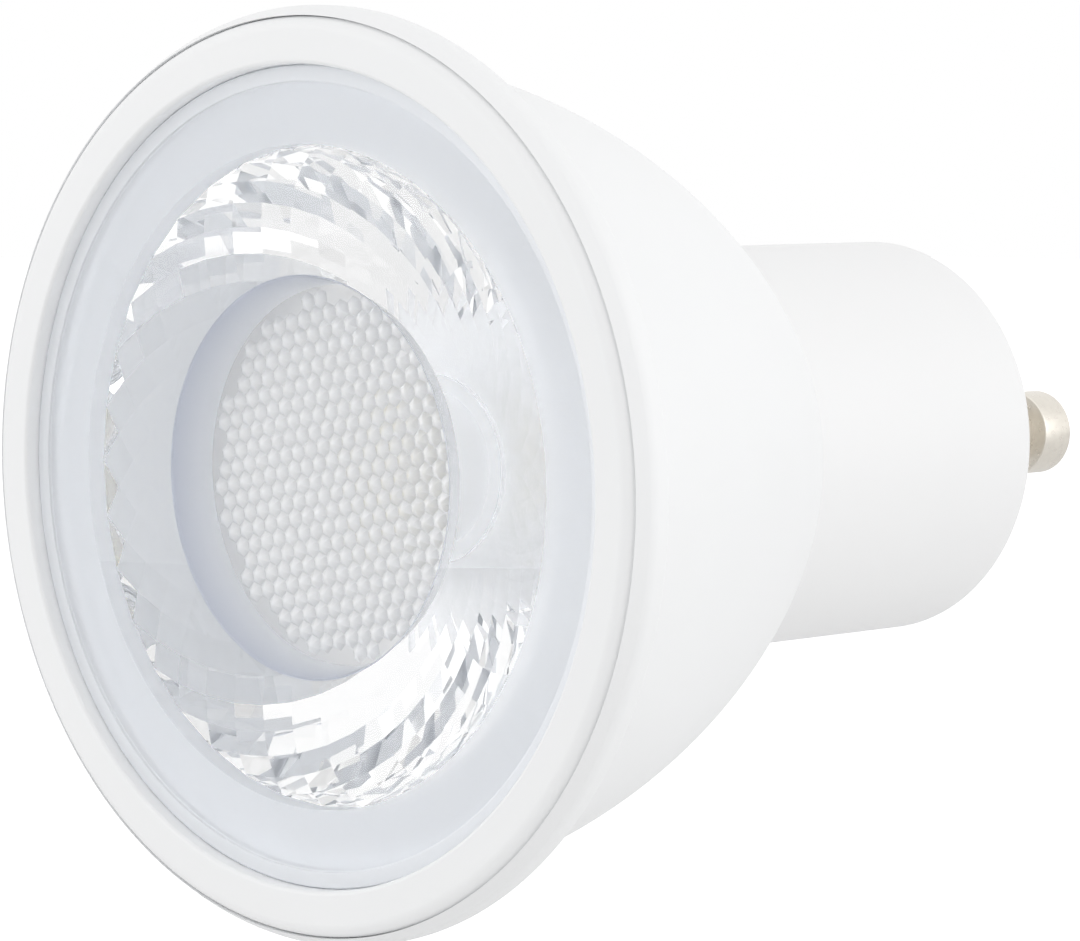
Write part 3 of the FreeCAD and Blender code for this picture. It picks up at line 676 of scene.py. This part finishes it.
class LAMP_OT_lens(bpy.types.Operator):
    """Build the clear lens: flange, well with a honeycomb floor, facets and pocket"""

    bl_idname = "lamp.lens"
    bl_label = "Lens"

    def execute(self, context):
        scene = context.scene
        lens = scene.lamp_lens
        shells = scene.lamp_shells
        mesh = bmesh.new()
        opening = radius_of("housing_bowl") - shells.face_width
        outer = opening - shells.fit
        front = front_of("lens")
        face = front + lens.face_step
        floor = back_of("front_ring")
        self.skirt_end = floor + lens.skirt_length
        self.tail = back_of("lens")
        self.facet_radius = outer - lens.edge_band - lens.flange_width
        self.well_floor = face + lens.well_depth
        outline = [
            at(lens.well_radius, self.well_floor),
            at(lens.well_radius + lens.well_taper, face),
            at(self.facet_radius, face),
            at(outer - lens.edge_band, face),
            at(outer - lens.edge_band, front),
            at(outer, front),
            at(outer, shells.ledge_cover + shells.fit),
            at(radius_of("lens"), shells.ledge_cover + shells.fit),
            at(radius_of("lens"), floor),
            at(lens.skirt_radius, floor),
            at(lens.skirt_radius, self.skirt_end),
        ]
        rounds = {1: lens.edge, 3: lens.edge, 4: lens.edge, 5: lens.edge}
        wire(mesh, outline, False, rounds, lens.edge_steps)
        spin_round(mesh, lens.steps_round)
        self.add_beads(mesh, lens)
        self.add_facets(mesh, lens)
        self.add_pocket(mesh, lens)
        close_up(mesh)
        self.write_rise(mesh, lens)
        for part in mesh.faces:
            middle = part.calc_center_median()
            reach = math.hypot(middle.x, middle.z)
            depth = middle.y - FRONT
            part.material_index = self.finish_number(lens, reach, depth, outer - lens.edge_band, face)
            in_well = reach < lens.well_radius and depth < self.well_floor + WELD_DISTANCE
            in_pocket = reach < lens.pocket_radius + lens.edge
            part.smooth = depth < self.skirt_end + WELD_DISTANCE or in_well or in_pocket
        finishes = scene.lamp_finishes
        clear = clear_acrylic(finishes.acrylic)
        roughness = finishes.frost_roughness
        flange = frosted_acrylic("frosted_flange", finishes.frost, roughness, finishes.flange_clearness)
        band = frosted_acrylic("frosted_band", finishes.frost, roughness, finishes.band_clearness)
        well = ground_acrylic(finishes.ground, finishes.acrylic, roughness)
        pocket = frosted_acrylic("frosted_pocket", finishes.cup, roughness, finishes.pocket_clearness)
        # Beads with painted shade in the valleys between them.
        beads = bead_acrylic(finishes.valley_painted_shade, finishes.acrylic, finishes.bead_clearness)
        materials = [clear, flange, band, well, pocket, beads]
        piece(mesh, "lens_body", "lens", materials, LENS_CREASE)
        return {"FINISHED"}

    def write_rise(self, mesh, lens):
        """Writes how far each point of the well stands over its floor, as a share of its bead or wall."""
        layer = mesh.verts.layers.float.new(RISE)
        for vert in mesh.verts:
            height = self.well_floor - (vert.co.y - FRONT)
            whole = lens.bead_height
            if math.hypot(vert.co.x, vert.co.z) > lens.well_radius - WELD_DISTANCE:
                whole = lens.well_depth
            vert[layer] = min(max(height / whole, 0), 1)

    def finish_number(self, lens, reach, depth, band_radius, face):
        """Number of a face's finish, from its middle's distance from the axis and its depth."""
        in_front = depth < face + lens.edge
        if in_front and reach > band_radius - lens.edge:
            return BAND
        if in_front and reach > self.facet_radius:
            return FLANGE
        well_wall = lens.well_radius < reach < lens.well_radius + lens.well_taper + lens.edge
        if well_wall and face < depth < self.well_floor:
            return WELL
        pocket_end = self.tail - lens.pocket_length
        pocket_wall = abs(reach - lens.pocket_radius) < lens.edge and depth > pocket_end + lens.edge
        if pocket_wall or depth > self.tail - lens.edge:
            return POCKET
        if reach < lens.well_radius and depth < self.well_floor + WELD_DISTANCE:
            return BEADS
        return CLEAR

    def fill_between(self, mesh, depth):
        """Fills the flat area between the open loops at one depth."""
        level = FRONT + depth
        edges = [edge for edge in mesh.edges if len(edge.link_faces) < 2
                 and max(abs(vert.co.y - level) for vert in edge.verts) < WELD_DISTANCE]
        bmesh.ops.triangle_fill(mesh, use_beauty=True, edges=edges, normal=AXIS)

    def add_beads(self, mesh, lens):
        """Adds the honeycomb of domed beads on the well's floor."""
        comb = bmesh.new()
        lie = Matrix.Translation((0, FRONT + self.well_floor, 0)) @ Matrix.Rotation(-lens.bead_turn, 4, "Y")
        hexagon = lie @ Matrix.Rotation(math.pi / 2, 4, "X")
        bmesh.ops.create_circle(comb, cap_ends=True, radius=lens.bead_pitch / math.sqrt(3), segments=6,
                                matrix=hexagon)
        bmesh.ops.subdivide_edges(comb, edges=comb.edges[:], cuts=1)
        bmesh.ops.recalc_face_normals(comb, faces=comb.faces[:])
        top = next(iter(comb.faces))
        if top.normal.y > 0:
            top.normal_flip()
        for width, rise in BEAD_RINGS:
            bmesh.ops.inset_individual(comb, faces=[top], thickness=width * lens.bead_pitch,
                                       depth=rise * lens.bead_height, use_even_offset=True)
        bmesh.ops.poke(comb, faces=[top], offset=BEAD_TIP * lens.bead_height)
        bead = comb.verts[:] + comb.edges[:] + comb.faces[:]
        for cell in self.bead_cells(lens):
            copy = bmesh.ops.duplicate(comb, geom=bead)["geom"]
            verts = [part for part in copy if isinstance(part, bmesh.types.BMVert)]
            bmesh.ops.translate(comb, verts=verts, vec=cell)
        bmesh.ops.remove_doubles(comb, verts=comb.verts[:], dist=LOOP_DISTANCE)
        take_in(mesh, comb)
        self.fill_between(mesh, self.well_floor)

    def bead_cells(self, lens):
        """Middles of the honeycomb's cells round its first one, whole inside the well's floor."""
        reach = 2 * int(lens.well_radius / lens.bead_pitch)
        limit = lens.well_radius - lens.bead_pitch / math.sqrt(3)
        turn = Matrix.Rotation(-lens.bead_turn, 3, "Y")
        for row in range(-reach, reach + 1):
            for column in range(-reach, reach + 1):
                cell = Vector((column + row / 2, 0, row * math.sqrt(3) / 2)) * lens.bead_pitch
                if 0 < cell.length < limit:
                    yield turn @ cell

    def facet_corner(self, lens, row, number):
        """Corner of the facets; the cosine curve of the radii keeps every facet flat."""
        step = math.pi / lens.facets_round
        whole = lens.facet_rows * step
        first = math.atan2(math.cos(whole) - lens.tail_radius / self.facet_radius, math.sin(whole))
        radius = self.facet_radius * math.cos(first + row * step) / math.cos(first)
        turn = (2 * number + row % 2) * step
        depth = self.skirt_end + (self.tail - self.skirt_end) * row / lens.facet_rows
        return Vector((radius * math.cos(turn), FRONT + depth, radius * math.sin(turn)))

    def add_facets(self, mesh, lens):
        """Adds the rows of diamond facets, each row by turning one facet round the axis."""
        for row in range(lens.facet_rows + 1):
            between = row % 2
            corners = [self.facet_corner(lens, row, 0)]
            if row > 0:
                corners.append(self.facet_corner(lens, row - 1, between))
            corners.append(self.facet_corner(lens, row, 1))
            if row < lens.facet_rows:
                corners.append(self.facet_corner(lens, row + 1, between))
            facet = mesh.faces.new([mesh.verts.new(corner) for corner in corners])
            copies = lens.facets_round - 1
            bmesh.ops.spin(mesh, geom=[*facet.verts, *facet.edges, facet], cent=ORIGIN, axis=AXIS,
                           dvec=ORIGIN, angle=math.tau * copies / lens.facets_round, steps=copies,
                           use_duplicate=True)
        bmesh.ops.remove_doubles(mesh, verts=mesh.verts[:], dist=WELD_DISTANCE)
        self.fill_between(mesh, self.skirt_end)

    def add_pocket(self, mesh, lens):
        """Adds the hollow over the light source."""
        end = self.tail - lens.pocket_length
        radius = (lens.pocket_radius ** 2 + lens.pocket_dome ** 2) / (2 * lens.pocket_dome)
        centre = at(0, end + lens.pocket_dome - radius)
        dome = arc(centre, at(lens.pocket_radius, end), at(0, end + lens.pocket_dome), lens.dome_steps)
        pocket = bmesh.new()
        wire(pocket, [at(lens.pocket_radius, self.tail), *dome], False, {}, 1)
        spin_round(pocket, lens.steps_round)
        take_in(mesh, pocket)
        self.fill_between(mesh, self.tail)


class LAMP_OT_light_source(bpy.types.Operator):
    """Finish the heat sink cup, the light source and their fasteners"""

    bl_idname = "lamp.light_source"
    bl_label = "Light Source"

    def execute(self, context):
        finishes = context.scene.lamp_finishes
        dress("heat_sink_cup", coated("lacquered_metal", finishes.cup, 0.4, contrast=0.03))
        dress("thermal_pad", coated("grey_rubber", (0.3, 0.32, 0.35), 0.8))
        dress("led_board", coated("white_solder_mask", (0.95, 0.95, 0.94), 0.4, contrast=0.03))
        dress("led_carrier", coated("pale_ceramic", (0.95, 0.95, 0.93), 0.5, contrast=0.03))
        dress("led_phosphor", coated("yellow_phosphor", finishes.phosphor, 0.6, scale=4000))
        dress("board_screws", coated("plain_steel", (0.6, 0.6, 0.61), 0.35, metal=1.0))
        dress("led_leads", coated("pale_insulation", (0.8, 0.8, 0.78), 0.45))
        return {"FINISHED"}


class LAMP_OT_driver(bpy.types.Operator):
    """Finish the driver board and its components"""

    bl_idname = "lamp.driver"
    bl_label = "Driver"

    def execute(self, context):
        dress("driver_board", coated("green_solder_mask", (0.02, 0.16, 0.06), 0.4))
        dress("mains_wires", coated("white_insulation", (0.75, 0.75, 0.74), 0.45))
        dress("filter_capacitor", coated("dark_sleeve", (0.02, 0.025, 0.04), 0.35))
        dress("fusible_resistor", coated("baked_lacquer", (0.12, 0.3, 0.22), 0.4))
        dress("choke_core", coated("dark_ferrite", (0.03, 0.03, 0.033), 0.6))
        dress("choke_winding", coated("enamelled_copper", (0.6, 0.24, 0.08), 0.3, metal=1.0))
        dress("film_capacitor", coated("ochre_case", (0.55, 0.24, 0.03), 0.4))
        for node in ("controller_chip", "bridge_rectifier"):
            dress(node, coated("black_epoxy_" + node, (0.012, 0.012, 0.014), 0.55))
        return {"FINISHED"}


# Stage

class LAMP_OT_stage(bpy.types.Operator):
    """Set the camera, the floor, the soft lights and the white surroundings"""

    bl_idname = "lamp.stage"
    bl_label = "Stage"

    def execute(self, context):
        stage = context.scene.lamp_stage
        self.set_camera(context.scene, stage)
        self.lay_floor(context.scene, stage)
        self.light_scene(context.scene, stage)
        scene = context.scene
        scene.view_settings.view_transform = "Standard"
        scene.cycles.adaptive_threshold = 0.1
        scene.cycles.blur_glossy = 0.0
        scene.cycles.max_bounces = 32
        scene.cycles.diffuse_bounces = 10
        scene.cycles.glossy_bounces = 24
        scene.cycles.transmission_bounces = 32
        return {"FINISHED"}

    def set_camera(self, scene, stage):
        """Long lens at the photograph's angle."""
        data = bpy.data.cameras.new("camera")
        data.lens = stage.focal
        data.sensor_width = 36.0
        data.clip_start = 0.01
        camera = bpy.data.objects.new("camera", data)
        scene.collection.objects.link(camera)
        level = math.cos(stage.elevation)
        back = Vector((math.sin(stage.azimuth) * level, -math.cos(stage.azimuth) * level,
                       math.sin(stage.elevation)))
        right = Vector((math.cos(stage.azimuth), math.sin(stage.azimuth), 0))
        up = back.cross(right)
        target = at(0, stage.target_depth) + stage.target_right * right + stage.target_up * up
        camera.location = target + stage.distance * back
        camera.rotation_mode = "QUATERNION"
        camera.rotation_quaternion = (-back).to_track_quat("-Z", "Y")
        scene.camera = camera

    def lay_floor(self, scene, stage):
        """Pale floor that keeps the lamp's shadow and shows white to the camera."""
        mesh = bmesh.new()
        level = CAD_BOX[0].z - stage.floor_drop
        bmesh.ops.create_grid(mesh, x_segments=1, y_segments=1, size=stage.floor_side / 2,
                              matrix=Matrix.Translation((0, 0, level)))
        data = bpy.data.meshes.new("floor")
        mesh.to_mesh(data)
        mesh.free()
        data.materials.append(self.floor_white())
        floor = bpy.data.objects.new("floor", data)
        scene.collection.objects.link(floor)

    def floor_white(self):
        """Pale paper, lifted to white for rays that come straight from the camera."""
        material, tree, shader = surface("floor_white")
        fibres = grain(tree, 40, 3)
        tone = blend_colours(tree, fibres, (0.82, 0.82, 0.82), (0.84, 0.84, 0.84))
        tree.links.new(tone, shader.inputs["Base Color"])
        shader.inputs["Roughness"].default_value = 0.9
        shader.inputs["Emission Color"].default_value = (1, 1, 1, 1)
        path = add(tree, "ShaderNodeLightPath")
        lift = spread(tree, path.outputs["Is Camera Ray"], 0.0, 0.5)
        tree.links.new(lift, shader.inputs["Emission Strength"])
        return material

    def background_rays(self, tree):
        """One for rays that show the background: from the camera, by a reflection or through glass."""
        path = add(tree, "ShaderNodeLightPath")
        either = add(tree, "ShaderNodeMath", operation="MAXIMUM")
        tree.links.new(path.outputs["Is Camera Ray"], either.inputs[0])
        tree.links.new(path.outputs["Is Glossy Ray"], either.inputs[1])
        any_of = add(tree, "ShaderNodeMath", operation="MAXIMUM")
        tree.links.new(either.outputs["Value"], any_of.inputs[0])
        tree.links.new(path.outputs["Is Transmission Ray"], any_of.inputs[1])
        return any_of.outputs["Value"]

    def light_scene(self, scene, stage):
        """White surroundings and three large soft lights."""
        world = bpy.data.worlds.new("studio")
        world.use_nodes = True
        scene.world = world
        tree = world.node_tree
        background = tree.nodes["Background"]
        background.inputs["Color"].default_value = (1, 1, 1, 1)
        strength = spread(tree, self.background_rays(tree), stage.sky, 1.0)
        tree.links.new(strength, background.inputs["Strength"])
        aim = at(0, stage.target_depth)
        self.soft_light(scene, "top_light", aim, Vector((0.05, -0.1, 0.5)), 0.6, stage.top_light)
        self.soft_light(scene, "left_light", aim, Vector((-0.3, -0.45, 0.12)), 0.5, stage.left_light)
        self.soft_light(scene, "right_light", aim, Vector((0.48, 0.2, 0.12)), 0.5, stage.right_light)

    def soft_light(self, scene, name, aim, way, side, power):
        """Square soft light that stands off from the lamp and points at it."""
        data = bpy.data.lights.new(name, "AREA")
        data.size = side
        data.energy = power
        light = bpy.data.objects.new(name, data)
        light.location = aim + way
        light.rotation_mode = "QUATERNION"
        light.rotation_quaternion = (-way).to_track_quat("-Z", "Y")
        scene.collection.objects.link(light)


OPERATORS = (LAMP_OT_front_ring, LAMP_OT_housing, LAMP_OT_neck, LAMP_OT_pins, LAMP_OT_lens,
             LAMP_OT_light_source, LAMP_OT_driver, LAMP_OT_stage)


class LAMP_PT_panel(bpy.types.Panel):
    """Sidebar panel that lists the lamp's pieces"""

    bl_idname = "LAMP_PT_panel"
    bl_label = "Spotlight Lamp"
    bl_space_type = "VIEW_3D"
    bl_region_type = "UI"
    bl_category = "Lamp"

    def draw(self, context):
        for operator in OPERATORS:
            self.layout.operator(operator.bl_idname)


GROUPS = {
    "lamp_shells": LampShells,
    "lamp_lens": LampLens,
    "lamp_finishes": LampFinishes,
    "lamp_stage": LampStage,
}


def register():
    """Registers the classes and hangs the settings on the scene."""
    for group in GROUPS.values():
        bpy.utils.register_class(group)
    for name, group in GROUPS.items():
        setattr(bpy.types.Scene, name, PointerProperty(type=group))
    for cls in (*OPERATORS, LAMP_PT_panel):
        bpy.utils.register_class(cls)


def unregister():
    """Takes the classes and the settings away again."""
    for cls in reversed((*OPERATORS, LAMP_PT_panel)):
        bpy.utils.unregister_class(cls)
    for name, group in GROUPS.items():
        delattr(bpy.types.Scene, name)
        bpy.utils.unregister_class(group)


def main():
    """Builds everything in order."""
    register()
    bpy.ops.lamp.front_ring()
    bpy.ops.lamp.housing()
    bpy.ops.lamp.neck()
    bpy.ops.lamp.pins()
    bpy.ops.lamp.lens()
    bpy.ops.lamp.light_source()
    bpy.ops.lamp.driver()
    bpy.ops.lamp.stage()


if __name__ == "__main__":
    main()
